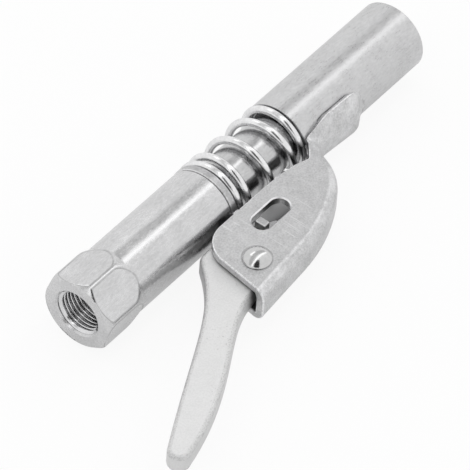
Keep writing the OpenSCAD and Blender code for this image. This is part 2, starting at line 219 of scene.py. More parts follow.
def rounded(corners, per_arc=6):
    """Points of a closed outline whose corners are (a, b, radius)"""
    points = []
    count = len(corners)
    for i, (a, b, radius) in enumerate(corners):
        here = Vector((a, b))
        before = Vector(corners[i - 1][:2]) - here
        after = Vector(corners[(i + 1) % count][:2]) - here
        if radius <= 0 or before.angle(after) > radians(178):
            points.append((a, b))
            continue
        half = before.angle(after) / 2
        reach = min(radius / tan(half), 0.49 * before.length, 0.49 * after.length)
        radius = reach * tan(half)
        start = here + before.normalized() * reach
        end = here + after.normalized() * reach
        centre = here + (before.normalized() + after.normalized()).normalized() * (radius / sin(half))
        first, last = start - centre, end - centre
        sweep = first.angle(last)
        for t in shares(per_arc):
            arm = (first * sin((1 - t) * sweep) + last * sin(t * sweep)) / sin(sweep)
            points.append(tuple(centre + arm))
    return points


def cap_open(piece):
    """Fills a piece's open ends"""
    edit_all(piece)
    bpy.ops.mesh.select_all(action="DESELECT")
    bpy.ops.mesh.select_non_manifold()
    bpy.ops.mesh.fill_holes(sides=0)
    bpy.ops.object.mode_set(mode="OBJECT")


def turned(name, outline, steps, sweep=tau):
    """Spins a closed outline of (along, radius) points in mm about the body's axis"""
    piece = outline_ring(name, [(a, 0.0, r) for a, r in outline])
    edit_all(piece)
    bpy.ops.mesh.spin(steps=steps, angle=sweep, center=(0, 0, 0), axis=(1, 0, 0))
    bpy.ops.object.mode_set(mode="OBJECT")
    if sweep < tau:
        cap_open(piece)
    return tidy_mesh(piece)


def plate(name, outline, near, far, to_point=lambda a, b, side: (a, b, side)):
    """Extrudes a closed outline in mm from one side to the other; to_point places (a, b, side)"""
    piece = outline_ring(name, [to_point(a, b, near) for a, b in outline], filled=True)
    step = (Vector(to_point(0, 0, far)) - Vector(to_point(0, 0, near))) * MM
    edit_all(piece)
    bpy.ops.mesh.extrude_region_move(TRANSFORM_OT_translate={"value": step})
    bpy.ops.object.mode_set(mode="OBJECT")
    return tidy_mesh(piece)


def apply_modifier(piece, kind, **settings):
    """Adds a modifier, sets it and applies it"""
    pick(piece)
    modifier = piece.modifiers.new(kind.title(), kind)
    for key, value in settings.items():
        setattr(modifier, key, value)
    bpy.ops.object.modifier_apply(modifier=modifier.name)


def cut(piece, cutter):
    """Cuts a piece with another, which is then removed"""
    apply_modifier(piece, "BOOLEAN", operation="DIFFERENCE", solver="EXACT", object=cutter)
    bpy.data.objects.remove(cutter, do_unlink=True)


def note_faces(piece, name, value):
    """Stores a number for every face, for the finishes to use"""
    numbers = []
    for face in piece.data.polygons:
        numbers.extend([value(face)] * face.loop_total)
    noted = piece.data.attributes.new(name, "FLOAT", "CORNER")
    noted.data.foreach_set("value", numbers)


def smooth(piece, angle=35.0):
    """Shades a piece smooth up to an angle"""
    pick(piece)
    bpy.ops.object.shade_smooth_by_angle(angle=radians(angle))


def soften(piece, width, segments, limit, shading, cutters=()):
    """Rounds edges sharper than a limit and notes them for edge wear and painted edge light, notes how far
    each face turns sideways for painted side shade, then makes the cuts and shades smooth
    """
    piece.data.materials.clear()
    for _ in range(2):
        piece.data.materials.append(None)
    apply_modifier(piece, "BEVEL", width=width, segments=segments, limit_method="ANGLE", material=1,
                   angle_limit=radians(limit), use_clamp_overlap=False, miter_outer="MITER_ARC")
    note_faces(piece, "edge_wear_and_light", lambda face: float(face.material_index == 1))
    # How far each face turns sideways, which the lever's finish paints with shade
    note_faces(piece, "side", lambda face: max(0.0, 1.0 - 1.6 * abs(face.normal.z)))
    piece.data.polygons.foreach_set("material_index", [0] * len(piece.data.polygons))
    for cutter in cutters:
        cut(piece, cutter)
    tidy_mesh(piece, 1e-6)
    smooth(piece, shading)
    apply_modifier(piece, "WEIGHTED_NORMAL", keep_sharp=True, weight=50)


def rod(name, start, end, radius, sides=64):
    """A cutter: a cylinder between two points in mm"""
    a, b = Vector(start) * MM, Vector(end) * MM
    clear_selection()
    bpy.ops.mesh.primitive_cylinder_add(vertices=sides, radius=radius * MM, depth=(b - a).length,
                                        location=(a + b) / 2,
                                        rotation=(b - a).to_track_quat("Z", "Y").to_euler())
    bpy.ops.object.transform_apply(location=True, rotation=True, scale=True)
    return named(name)


def push_out(piece, least):
    """Moves points that lie nearer to the axis than least(x, degrees from the lever's side) in mm"""
    for vertex in piece.data.vertices:
        x, y, z = vertex.co / MM
        grow = least(x, abs(degrees(atan2(z, -y)))) / max(hypot(y, z), 0.1)
        if grow > 1.0:
            vertex.co = Vector((x, y * grow, z * grow)) * MM


def pivot_rod(name, radius):
    """A cutter along the lever's pivot"""
    return rod(name, PIVOT - PIN_HALF, PIVOT + PIN_HALF, radius, 48)


def spoke(angle):
    """A unit vector at an angle from the first axis"""
    return Vector((cos(angle), sin(angle)))


def slant(angle):
    """A unit vector at an angle from the second axis"""
    return Vector((sin(angle), cos(angle)))


def place(piece, body, nodes, material):
    """Gives a finished piece its body, the nodes it stands for and its finish"""
    piece.data.materials.clear()
    piece.data.materials.append(material)
    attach(piece, body)
    if nodes:
        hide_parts(*nodes)


# ---------------------------------------------------------------- finishes

class Nodes:
    """Short hand for building one material's node tree"""

    def __init__(self, name):
        name = "coupler_" + name
        self.material = bpy.data.materials.get(name)
        self.fresh = self.material is None
        if self.fresh:
            self.material = bpy.data.materials.new(name)
            self.material.use_nodes = True
        self.tree = self.material.node_tree
        self.shader = self.tree.nodes.get("Principled BSDF")

    def add(self, kind, values=None, **settings):
        node = self.tree.nodes.new(kind)
        for key, value in settings.items():
            setattr(node, key, value)
        for key, value in (values or {}).items():
            node.inputs[key].default_value = value
        return node

    def link(self, source, target):
        self.tree.links.new(source, target)

    def spot(self, scale=(1, 1, 1), turn=(0, 0, 0)):
        """Object coordinates, stretched and turned"""
        coords = self.add("ShaderNodeTexCoord")
        mapping = self.add("ShaderNodeMapping", {"Scale": scale, "Rotation": turn})
        self.link(coords.outputs["Object"], mapping.inputs["Vector"])
        return mapping.outputs["Vector"]

    def noise(self, vector, scale, detail=3.0, rough=0.55, distortion=0.0):
        node = self.add("ShaderNodeTexNoise", {"Scale": scale, "Detail": detail, "Roughness": rough,
                                               "Distortion": distortion})
        self.link(vector, node.inputs["Vector"])
        return node.outputs["Fac"]

    def noted(self, name):
        """A number stored on the piece"""
        return self.add("ShaderNodeAttribute", attribute_name=name).outputs["Fac"]

    def blend(self, factor, under, over):
        """One colour over another; each is a socket or a colour"""
        node = self.add("ShaderNodeMix", data_type="RGBA")
        for socket, value in ((6, under), (7, over)):
            if isinstance(value, tuple):
                node.inputs[socket].default_value = (*value, 1.0)
            else:
                self.link(value, node.inputs[socket])
        self.link(factor, node.inputs[0])
        return node.outputs[2]

    def tones(self, factor, colour, low, high):
        """A colour from its darker to its lighter tone"""
        return self.blend(factor, times(colour, low), times(colour, high))

    def ranged(self, value, low, high, to_low=0.0, to_high=1.0):
        node = self.add("ShaderNodeMapRange", {"From Min": low, "From Max": high, "To Min": to_low,
                                               "To Max": to_high})
        self.link(value, node.inputs["Value"])
        return node.outputs["Result"]

    def math(self, operation, a, b):
        node = self.add("ShaderNodeMath", operation=operation)
        for socket, value in zip(node.inputs, (a, b)):
            if isinstance(value, (int, float)):
                socket.default_value = value
            else:
                self.link(value, socket)
        return node.outputs["Value"]

    def mul(self, a, b):
        return self.math("MULTIPLY", a, b)

    def total(self, *parts):
        """The sum of values, each times its weight"""
        found = None
        for value, weight in parts:
            part = self.mul(value, weight)
            found = part if found is None else self.math("ADD", found, part)
        return found

    def surface(self, colour, rough, metal=1.0):
        """Links a colour and a roughness to the shader, and sets how metallic it is"""
        self.link(colour, self.shader.inputs["Base Color"])
        self.link(rough, self.shader.inputs["Roughness"])
        self.shader.inputs["Metallic"].default_value = metal

    def even(self, colour, grain, tones, rough, metal=1.0):
        """A surface whose tone and roughness both follow one grain"""
        self.surface(self.tones(self.ranged(grain, 0.35, 0.65), colour, *tones),
                     self.ranged(grain, 0.35, 0.65, *rough), metal)

    def glow(self, strength):
        """White light"""
        return self.add("ShaderNodeEmission", {"Color": (1, 1, 1, 1), "Strength": strength}).outputs[0]

    def show(self, shader):
        """Links a shader to the output, in place of the first one"""
        self.link(shader, self.tree.nodes["Material Output"].inputs["Surface"])

    def bump(self, height, strength, distance):
        node = self.add("ShaderNodeBump", {"Strength": strength, "Distance": distance})
        self.link(height, node.inputs["Height"])
        self.link(node.outputs["Normal"], self.shader.inputs["Normal"])

    def scratches(self, turns, scale, width):
        """Fine straight scratches in several directions, as a mask"""
        total = None
        for turn in turns:
            lines = self.noise(self.spot((scale, scale * 0.03, scale), (0.2, 0.1, turn)), 1.0, 2.0, 0.5)
            mask = self.ranged(lines, 0.66, 0.66 + width)
            total = mask if total is None else self.math("MAXIMUM", total, mask)
        return total


def times(colour, factor):
    """A colour made lighter or darker"""
    return tuple(min(1.0, c * factor) for c in colour)


def plated_body(colour, name="plated_body", low=0.17, high=0.3):
    """Satin plate, drawn along the body, with soft stains, corners brightened by wear and painted brighter as
    their highlight, and painted shade lines
    """
    n = Nodes(name)
    if n.fresh:
        drawn = n.noise(n.spot((90, 2600, 2600)), 1.0, 4.0, 0.6)
        stain = n.noise(n.spot(), 210.0, 5.0, 0.6, 0.4)
        speck = n.noise(n.spot((0.45, 1, 1)), 2100.0, 3.0, 0.65)
        mixed = n.total((drawn, 0.12), (stain, 0.38), (speck, 0.5))
        plain = n.tones(n.ranged(mixed, 0.38, 0.62), colour, 0.88, 1.1)
        edge_wear_and_light = n.noted("edge_wear_and_light")
        # Painted shade: a dark line along each cone's border on the hexagon, mottled by the stains
        shade_line_mask = n.mul(n.ranged(edge_wear_and_light, -0.1, -0.7), n.ranged(stain, 0.4, 0.58, 0.35, 0.85))
        # Corners brightened by wear, painted brighter still as their highlight
        rubbed = n.mul(n.ranged(edge_wear_and_light, 0.3, 0.8), n.ranged(speck, 0.3, 0.6, 0.4, 1.0))
        shade_lined = n.blend(shade_line_mask, plain, times(colour, 0.55))
        n.surface(n.blend(rubbed, shade_lined, times(colour, 1.45)), n.ranged(mixed, 0.38, 0.62, low, high))
        n.bump(n.total((drawn, 0.4), (speck, 1.4)), 0.2, 0.00003)
    return n.material


def plated_sheet(colour, name="plated_sheet"):
    """Plate on stamped sheet: grained and mottled, scratched, with painted highlight on bends, the ear and
    slot rims, edges brightened by wear and painted brighter as their highlight, and painted shade inside the
    channel
    """
    n = Nodes(name)
    if n.fresh:
        cloud = n.noise(n.spot(), 300.0, 6.0, 0.65, 0.6)
        speck = n.noise(n.spot(), 2600.0, 3.0, 0.65)
        scratch = n.mul(n.scratches((0.45, 1.25, 2.35), 1900.0, 0.05),
                        n.ranged(n.noise(n.spot(), 130.0, 3.0), 0.5, 0.58))
        mixed = n.total((cloud, 0.4), (speck, 0.6))
        grain = n.tones(n.ranged(mixed, 0.35, 0.65), colour, 0.78, 1.22)
        marked = n.blend(n.mul(scratch, 0.55), grain, times(colour, 1.5))
        # Painted highlight on the bends and the ear, patched like plate brightened by wear
        bend = n.noted("bend")
        patch = n.ranged(n.noise(n.spot(), 170.0, 5.0, 0.7), 0.5, 0.66, 0.12, 0.9)
        # Cut edges brightened by wear and painted brighter as their highlight
        edge = n.mul(n.noted("edge_wear_and_light"), n.ranged(speck, 0.35, 0.6, 0.15, 0.9))
        rubbed = n.math("MAXIMUM", n.mul(bend, patch), edge)
        # Painted highlight on the slot rims
        rubbed = n.math("MAXIMUM", rubbed, n.noted("rim"))
        bright = n.blend(rubbed, marked, times(colour, 1.6))
        # Painted shade on the channel's inner faces
        n.surface(n.blend(n.noted("inside"), bright, times(colour, 0.72)),
                  n.total((n.ranged(mixed, 0.35, 0.65, 0.4, 0.28), 1.0), (bend, 0.17)))
        n.bump(n.total((mixed, 1.0), (scratch, -0.5)), 0.25, 0.00004)
    return n.material


def cast_lever(colour):
    """Plate over a fine cast grain with small dark pits, painted shade on its sides and painted shade along
    its nibbled edges
    """
    n = Nodes("cast_lever")
    if n.fresh:
        grain = n.noise(n.spot(), 2700.0, 4.0, 0.7)
        swell = n.noise(n.spot(), 320.0, 3.0, 0.5)
        pits = n.noise(n.spot(), 1500.0, 3.0, 0.6)
        flock = n.noise(n.spot(), 95.0, 2.0, 0.5)
        pit = n.mul(n.ranged(pits, 0.62, 0.7), n.ranged(flock, 0.54, 0.66))
        pale = n.tones(n.ranged(grain, 0.3, 0.7), colour, 0.94, 1.06)
        # Painted shade on the side faces
        flank = n.blend(n.mul(n.noted("side"), 0.35), pale, times(colour, 0.88))
        # Painted shade along the rounded edges, broken up like nibbled cast flash
        nibble_and_shade = n.mul(n.noted("edge_wear_and_light"), n.ranged(grain, 0.46, 0.6))
        edged = n.blend(n.mul(nibble_and_shade, 0.75), flank, times(colour, 0.66))
        n.surface(n.blend(n.mul(pit, 0.55), edged, times(colour, 0.5)),
                  n.ranged(swell, 0.3, 0.7, 0.5, 0.62))
        n.bump(n.total((grain, 1.0), (swell, 1.5), (pit, -1.0)), 0.4, 0.00008)
    return n.material


def spring_wire(colour):
    """Bright drawn wire"""
    n = Nodes("spring_wire")
    if n.fresh:
        n.even(colour, n.noise(n.spot(), 900.0, 4.0, 0.6), (0.92, 1.08), (0.18, 0.28))
        n.bump(n.noise(n.spot(), 3200.0, 2.0), 0.2, 0.00002)
    return n.material


def polished(name, colour, low, high):
    """Polished steel with a faint haze"""
    n = Nodes(name)
    if n.fresh:
        n.even(colour, n.noise(n.spot(), 900.0, 3.0, 0.6), (0.95, 1.03), (low, high))
    return n.material


def jaw_steel(colour):
    """Hardened dark steel with fine grinding marks"""
    n = Nodes("jaw_steel")
    if n.fresh:
        ground = n.noise(n.spot((900, 5200, 5200)), 1.0, 3.0, 0.6)
        n.even(colour, ground, (0.8, 1.15), (0.28, 0.42))
        n.bump(ground, 0.15, 0.00003)
    return n.material


def black_rubber(colour):
    """Moulded rubber with a matte skin"""
    n = Nodes("black_rubber")
    if n.fresh:
        skin = n.noise(n.spot(), 2600.0, 3.0, 0.6)
        n.even(colour, skin, (0.7, 1.5), (0.55, 0.72), metal=0.0)
        n.bump(skin, 0.2, 0.00004)
    return n.material


# ---------------------------------------------------------------- pieces turned on the axis

def soft_min(a, b, soft):
    """The smaller of two numbers, rounded over where they meet"""
    over = max(soft - abs(a - b), 0.0) / soft
    return min(a, b) - over * over * soft / 4


class COUPLER_OT_inlet(bpy.types.Operator):
    """Model the hexagon, barrel and threaded mouth of the inlet"""
    bl_idname = "coupler.inlet"
    bl_label = "Inlet Body"

    # In mm: the hexagon's length and the lengths of its cones
    hex_long, mouth_cone, rear_cone = 11.4, 1.05, 2.7
    # In mm: the width of its corners brightened by wear and painted brighter as their highlight, and the half
    # width and strength of the painted shade line at each cone
    rubbed_edge, mouth_line, rear_line = 0.22, (0.11, 1.5), (0.13, 1.0)
    # The hexagon's turn about the axis, and how much points are crowded to its corners
    hex_turn, crowding = radians(14.5), 0.09

    def outline(self, sizes):
        """The body along the axis, with the hexagon still round"""
        barrel, root, soft = (v / MM for v in (sizes.barrel_radius, sizes.thread_root, sizes.hex_soft))
        flat, widest = sizes.hex_across / 2 / MM, sizes.hex_turned / 2 / MM
        end, rings = self.hex_long, 111
        outer = []
        for x in (end * t for t in shares(rings)):
            cone = flat - 0.05 + (widest - flat + 0.05) * x / self.mouth_cone
            back = barrel + (widest - barrel) * (end - x) / self.rear_cone
            outer.append((x, soft_min(soft_min(cone, widest, soft), back, soft)))
        return outer + rounded([
            (end + 0.4, barrel, 0), (39.8, barrel, 0.35), (39.8, SHANK_R, 0.1), (26.7, SHANK_R, 0),
            (26.3, 3.0, 0), (25.2, 1.6, 0), (13.7, 1.6, 0), (12.0, 4.6, 0), (11.6, root, 0),
            (0.42, root, 0.05), (0.0, root + 0.4, 0.12), (0.0, flat - 0.9, 0)])

    def hexagon(self, body, sizes):
        """Flattens the turned end to a hexagon, and notes its corners, brightened by wear and painted
        brighter as their highlight, and the painted shade lines at its cones
        """
        flat, soft = sizes.hex_across / 2 / MM, sizes.hex_soft / MM
        mouth = sizes.thread_root / MM + 1.2
        edge_wear_and_light = [0.0] * len(body.data.vertices)
        for vertex in body.data.vertices:
            x, y, z = (c / MM for c in vertex.co)
            radius = hypot(y, z)
            if x > self.hex_long + 0.2 or radius < mouth:
                continue
            angle = atan2(z, -y)
            angle -= self.crowding * sin(6 * (angle - self.hex_turn))
            near, other = sorted(flat / max(0.2, cos(angle - self.hex_turn - radians(30 + 60 * k)))
                                 for k in range(6))[:2]
            side = soft_min(near, other, soft)
            end_face = x <= 0.01
            off_line = 1.0 if end_face else abs(radius - side)
            rub = max(0.0, 1.0 - (other - near) / self.rubbed_edge) if radius > side else 0.0
            # Painted shade: a dark line where the flats meet each cone
            line, strength = self.mouth_line if x < 3 else self.rear_line
            if off_line < line and rub < 0.5:
                rub = strength * (off_line / line - 1.0)
            edge_wear_and_light[vertex.index] = rub
            radius = min(radius, side) if end_face else soft_min(radius, side, soft)
            vertex.co = Vector((x, -radius * cos(angle), radius * sin(angle))) * MM
        body.data.attributes.new("edge_wear_and_light", "FLOAT", "POINT").data.foreach_set("value", edge_wear_and_light)

    def thread(self, sizes, material):
        """Cut thread in the mouth, as a helical ridge with a rounded crest"""
        pitch, root, crest = (v / MM for v in (sizes.thread_pitch, sizes.thread_root, sizes.thread_crest))
        start, turns, steps = 0.45, 11, 72
        half = pitch * 0.47
        flank = [(half, root + 0.15), (half * 0.94, root), (0.24, crest + 0.26), (0.17, crest + 0.12),
                 (0.09, crest + 0.03)]
        section = [(-a, r) for a, r in flank] + [(0.0, crest)] + [(a, r) for a, r in reversed(flank)]
        ridge = outline_ring("inlet_thread", [(start + a, 0.0, r) for a, r in section])
        apply_modifier(ridge, "SCREW", axis="X", angle=tau, screw_offset=pitch * MM, iterations=turns,
                       steps=steps, render_steps=steps, use_normal_calculate=True, use_smooth_shade=False)
        cap_open(ridge)
        tidy_mesh(ridge)
        push_out(ridge, lambda x, angle: root + 0.45 - x * 0.95)
        smooth(ridge, 60.0)
        place(ridge, "core", [], material)

    def execute(self, context):
        sizes = context.scene.coupler.body
        colour = context.scene.coupler.finishes.body
        body = turned("inlet_piece", self.outline(sizes), steps=384)
        self.hexagon(body, sizes)
        smooth(body, 50.0)
        place(body, "core", ["inlet_body"], plated_body(colour))
        self.thread(sizes, polished("thread_steel", times(colour, 1.12), 0.14, 0.22))
        return {"FINISHED"}


class COUPLER_OT_stem(bpy.types.Operator):
    """Model the stem that the spring and sleeve slide on"""
    bl_idname = "coupler.stem"
    bl_label = "Stem"

    def execute(self, context):
        outline = rounded([
            (27.1, 3.0, 0), (27.1, 5.0, 0.3), (29.15, 5.0, 0.1), (29.15, 3.9, 0.1), (30.25, 3.9, 0.1),
            (30.25, 5.0, 0.1), (41.55, 5.0, 0), (41.55, 6.35, 0.2), (44.0, 6.35, 0.15), (44.5, 6.0, 0.15),
            (84.5, 6.0, 0.2), (84.5, 3.4, 0.2), (87.0, 3.4, 0.2), (87.0, 4.3, 0.2), (90.0, 4.3, 0.2),
            (90.0, 2.3, 0.1), (86.0, 2.3, 0), (86.0, 1.6, 0), (39.5, 1.6, 0), (38.1, 3.0, 0)])
        stem = turned("stem_piece", outline, steps=160)
        smooth(stem)
        place(stem, "core", ["stem"],
              plated_body(times(context.scene.coupler.finishes.body, 0.9), "drawn_stem", 0.16, 0.25))
        return {"FINISHED"}


class COUPLER_OT_sleeve(bpy.types.Operator):
    """Model the sliding sleeve that closes the jaws"""
    bl_idname = "coupler.sleeve"
    bl_label = "Sleeve"

    def execute(self, context):
        radius = context.scene.coupler.body.barrel_radius / MM
        outline = rounded([
            (SLEEVE_REAR, 6.08, 0.25), (SLEEVE_REAR, radius, 0.12), (103.25, radius, 0.1),
            (103.7, radius - 0.42, 0.16), (103.7, 7.1, 0.25), (99.56, 7.1, 0.3), (95.2, 6.08, 0)], per_arc=8)
        sleeve = turned("sleeve_piece", outline, steps=192)
        smooth(sleeve)
        place(sleeve, "sleeve_set", ["sleeve"],
              plated_body(times(context.scene.coupler.finishes.body, 0.94), "satin_sleeve", 0.26, 0.36))
        return {"FINISHED"}


class COUPLER_OT_spring(bpy.types.Operator):
    """Wind the main spring and the small check spring, with closed end turns"""
    bl_idname = "coupler.spring"
    bl_label = "Springs"

    # In turns: how long a change of pitch takes, how long before its end a wire tucks in, and over how long
    knee_ease, tuck_before, tuck_over = 0.06, 0.4, 0.25
    # In mm: the gap between a spring and what it presses on, and the check spring's wire, radius and seat
    clear, small_wire, small_mean, small_seat = 0.02, 0.25, 2.2, 38.1

    def path(self, mean, knees, begin, steps, lean=0.0, tuck=0.0):
        """Points in mm along a coil, whose open turns may lean and whose last end may tuck in

        Each knee is a turn and the wire's place there, where its pitch changes
        """
        turns, open_to = knees[-1][0], knees[-2][0]
        count = int(turns * steps)
        points = []
        for i in range(count + 1):
            t = turns * i / count
            along, before = knees[0][1], None
            for (t0, x0), (t1, x1) in zip(knees, knees[1:]):
                pitch = (x1 - x0) / (t1 - t0)
                along += pitch * min(max(t - t0, 0.0), t1 - t0)
                if before is not None:
                    near = max(self.knee_ease - abs(t - t0), 0.0)
                    along += (pitch - before) * near * near / (4 * self.knee_ease)
                before = pitch
            angle = begin + tau * t
            along += lean * (1 + cos(angle)) / 2 * sin(pi * min(t / open_to, 1.0))
            radius = mean - tuck * min(max((t - turns + self.tuck_before) / self.tuck_over, 0.0), 1.0)
            points.append((along, radius * cos(angle), radius * sin(angle)))
        return points

    def wound(self, name, wire, points):
        """Round wire along a path, with softened ends"""
        clear_selection()
        bpy.ops.curve.primitive_nurbs_path_add(radius=0.01)
        coil = bpy.context.object
        coil.data.splines.clear()
        line = coil.data.splines.new("POLY")
        line.points.add(len(points) - 1)
        for point, place_mm in zip(line.points, points):
            point.co = (*(c * MM for c in place_mm), 1.0)
        coil.data.dimensions = "3D"
        coil.data.bevel_depth = wire * MM
        coil.data.bevel_resolution = 8
        coil.data.use_fill_caps = True
        bpy.ops.object.convert(target="MESH")
        spring = tidy_mesh(named(name))
        soften(spring, wire * 0.17 * MM, 3, 50.0, 40.0)
        return spring

    def execute(self, context):
        finish = spring_wire(context.scene.coupler.finishes.wire)
        sizes = context.scene.coupler.spring
        wire, mean = sizes.wire_radius / MM, sizes.mean_radius / MM
        rear, front = PLATE_FRONT + wire + self.clear, SLEEVE_REAR - wire - self.clear
        knees = [(0, rear), (0.4, rear + 0.2), (1.45, rear + sizes.rear_rise / MM),
                 (3.91, front - sizes.front_rise / MM), (4.55, front)]
        spring = self.wound("spring_piece", wire,
                            self.path(mean, knees, radians(-7), 64, lean=1.6, tuck=0.4))
        place(spring, "core", ["main_spring"], finish)
        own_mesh(spring)

        reach = [v.co.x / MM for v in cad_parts["check_spring"].data.vertices]
        rear, front = min(reach) + self.small_wire, max(reach) - self.small_wire
        knees = [(0, rear), (0.8, rear + 0.44), (4.2, front - 0.44), (5, front)]
        small = self.wound("check_spring_piece", self.small_wire, self.path(self.small_mean, knees, 0.0, 40))
        place(small, "core", ["check_spring"], finish)
        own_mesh(small)
        return {"FINISHED"}


class COUPLER_OT_jaws(bpy.types.Operator):
    """Model one gripping jaw and copy it round the axis"""
    bl_idname = "coupler.jaws"
    bl_label = "Jaws"

    def execute(self, context):
        outline = rounded([
            (84.7, 3.65, 0.15), (84.7, 5.55, 0.2), (94.6, 5.55, 0.3), (97.8, 6.3, 0.4), (102.7, 6.3, 0.5),
            (102.7, 3.95, 0.15), (101.9, 2.75, 0.15), (100.3, 2.75, 0.15), (99.6, 3.45, 0.2),
            (95.6, 3.45, 0.1), (95.6, 4.55, 0.1), (86.8, 4.55, 0.1), (86.8, 3.65, 0.15)], per_arc=4)
        first = turned("jaw_piece_1", outline, steps=28, sweep=radians(84))
        centre = sum((v.co for v in first.data.vertices), Vector())
        turn = atan2(centre.z, centre.y)
        first.data.transform(Matrix.Rotation(radians(45) - turn, 4, "X"))
        soften(first, 0.0001, 2, 50.0, 30.0)
        material = jaw_steel(context.scene.coupler.finishes.jaw)
        jaws = [first]
        for k in (2, 3, 4):
            copy = first.copy()
            copy.data = first.data.copy()
            copy.name = copy.data.name = "jaw_piece_%d" % k
            context.scene.collection.objects.link(copy)
            copy.data.transform(Matrix.Rotation(radians(90 * (k - 1)), 4, "X"))
            jaws.append(copy)
        for k, jaw in enumerate(jaws, 1):
            place(jaw, "jaw_%d" % k, ["jaw_%d" % k], material)
        return {"FINISHED"}


# ---------------------------------------------------------------- lever, bracket and what holds them

class COUPLER_OT_anchor(bpy.types.Operator):
    """Model the anchor plate with its ear and side lugs"""
    bl_idname = "coupler.anchor"
    bl_label = "Anchor Plate"

    def execute(self, context):
        ring, ear = 8.1, 2.3
        lug, lug_near, lug_far, ear_end = 4.2, -13.25, -15.85, -17.5
        begin = asin(ear / ring)
        arc = [(-ring * cos(a), ring * sin(a)) for a in
               (begin + (tau - 2 * begin) * t for t in shares(90))]
        half = [(lug_near, ear, 0), (lug_near, lug, 0.35), (lug_far, lug, 0.35), (lug_far, ear, 0.2),
                (ear_end, ear, 0.5)]
        side = rounded([(a, -b, r) for a, b, r in half] + half[::-1], per_arc=4)
        anchor = plate("anchor_piece", arc + side, 39.82, PLATE_FRONT, lambda a, b, side: (side, a, b))
        cut(anchor, rod("anchor_hole", (38, 0, 0), (43, 0, 0), SHANK_R))
        soften(anchor, 0.00022, 3, 50.0, 35.0)
        place(anchor, "core", ["anchor_plate"],
              plated_sheet(times(context.scene.coupler.finishes.sheet, 0.86), "anchor_sheet"))
        return {"FINISHED"}


def along_line(points, share):
    """The point at a share of a polyline's length"""
    lengths = [(Vector(b) - Vector(a)).length for a, b in zip(points, points[1:])]
    left = share * sum(lengths)
    for a, b, span in zip(points, points[1:], lengths):
        if left <= span or (a, b) == (points[-2], points[-1]):
            return Vector(a).lerp(Vector(b), min(1.0, left / span))
        left -= span
    return Vector(points[-1])


